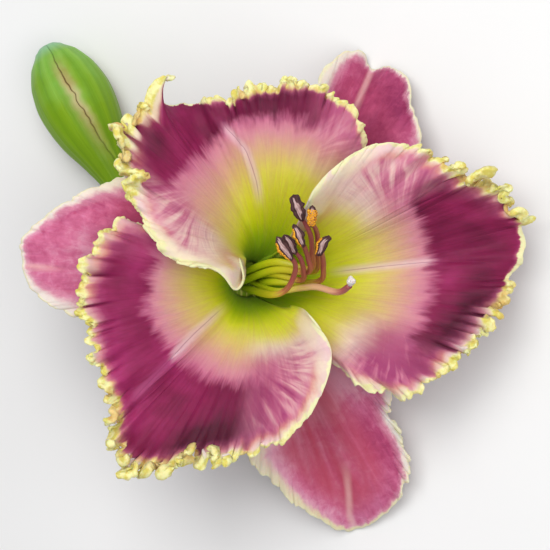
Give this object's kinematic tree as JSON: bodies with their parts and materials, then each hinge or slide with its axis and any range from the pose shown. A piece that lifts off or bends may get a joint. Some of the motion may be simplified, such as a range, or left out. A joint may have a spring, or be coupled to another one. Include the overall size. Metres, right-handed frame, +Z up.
{
  "type": "daylily flower stem",
  "caption": "Cut daylily scape lying on a surface, with an open ruffled bloom, its stamens and pistil, and a closed bud on a short stalk.",
  "frame": {"origin": "on the surface that the stem lies on, under the middle of the whole part", "axes": "+Z up from the surface; +Y towards the upper petal of the bloom and the bud; +X towards the right-hand petal, the way the bloom's face leans"},
  "size_m": [0.1628, 0.1547, 0.0643],
  "materials": {
    "petal": "soft satin, burgundy with a pale throat and a crimped gold edge",
    "sepal": "soft satin, rose with fine veins and a thin cream edge",
    "tube": "smooth waxy yellow-green",
    "stem": "smooth waxy green",
    "bud_sepal": "smooth waxy green, paler along the ribs",
    "bud_petal": "soft brownish pink",
    "filament": "smooth, yellow-green at the foot and dusky red above",
    "anther": "powdery, dark with orange pollen",
    "style": "smooth, cream with a pink end",
    "stigma": "fine velvet, white"
  },
  "bodies": {
    "root": {"petal_upper": "petal", "petal_right": "petal", "petal_lower": "petal", "sepal_left": "sepal", "sepal_top": "sepal", "sepal_bottom": "sepal", "perianth_tube": "tube", "scape": "stem", "filament_1": "filament", "anther_1": "anther", "filament_2": "filament", "anther_2": "anther", "filament_3": "filament", "anther_3": "anther", "filament_4": "filament", "anther_4": "anther", "filament_5": "filament", "anther_5": "anther", "filament_6": "filament", "anther_6": "anther", "style": "style", "stigma": "stigma", "bud_sepal_1": "bud_sepal", "bud_sepal_2": "bud_sepal", "bud_sepal_3": "bud_sepal", "bud_petals": "bud_petal", "bract_bloom": "stem", "bract_bud": "stem"}
  },
  "joints": []
}
